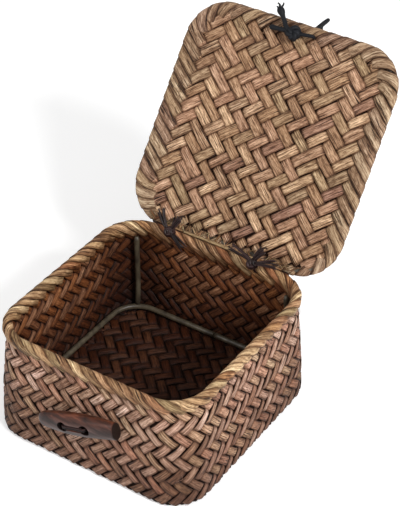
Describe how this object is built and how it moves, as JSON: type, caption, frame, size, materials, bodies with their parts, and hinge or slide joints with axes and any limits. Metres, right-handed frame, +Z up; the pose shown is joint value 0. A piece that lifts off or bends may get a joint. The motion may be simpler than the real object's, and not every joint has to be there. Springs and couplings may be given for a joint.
{
  "type": "woven lidded box",
  "caption": "Shallow square box of plaited strips on a wire frame, with a cord-hinged lid that stands open at the back and a wooden toggle on its front.",
  "frame": {"origin": "middle of the underside of the basket's base, on the surface that it stands on", "axes": "+Z up, front with the toggle at -Y, hinge of the lid at +Y, +X to the right seen from the front"},
  "size_m": [0.1256, 0.2232, 0.1677],
  "materials": {
    "body_straw": "plaited plant strips, dry, satin",
    "rim_straw": "folded plant strips, dry, satin",
    "lid_straw": "plaited plant strips, dry, satin",
    "lid_border_straw": "folded plant strips, dry, satin",
    "frame_wire": "semi-gloss paint",
    "hinge_cord": "waxed cord",
    "closing_cord": "elastic cord",
    "toggle_cord": "waxed cord",
    "toggle_wood": "stained and lacquered"
  },
  "bodies": {
    "basket": {"woven_body": "body_straw", "body_rim_fold": "rim_straw", "body_rim_wire": "frame_wire", "base_wire": "frame_wire", "corner_post_front_left": "frame_wire", "corner_post_front_right": "frame_wire", "corner_post_back_left": "frame_wire", "corner_post_back_right": "frame_wire", "toggle_anchor_knot": "toggle_cord", "hinge_loop_left": "hinge_cord", "hinge_knot_left": "hinge_cord", "hinge_loop_right": "hinge_cord", "hinge_knot_right": "hinge_cord"},
    "lid": {"lid_panel": "lid_straw", "lid_border_fold": "lid_border_straw", "lid_edge_wire": "frame_wire", "closing_loop": "closing_cord", "closing_knot": "closing_cord"},
    "toggle": {"toggle": "toggle_wood", "toggle_lashing": "toggle_cord"}
  },
  "joints": [
    {"name": "lid_hinge", "type": "hinge", "parent": "basket", "child": "lid", "pos_m": [0, 0.0608, 0.0647], "axis": [-1, 0, 0], "range_deg": [-127, 0], "deforming": ["hinge_knot_left", "hinge_knot_right", "closing_knot"]},
    {"name": "toggle_swivel", "type": "hinge", "parent": "basket", "child": "toggle", "pos_m": [0.001, -0.06649, 0.0354], "axis": [0, -1, 0], "range_deg": [-35, 10]}
  ]
}
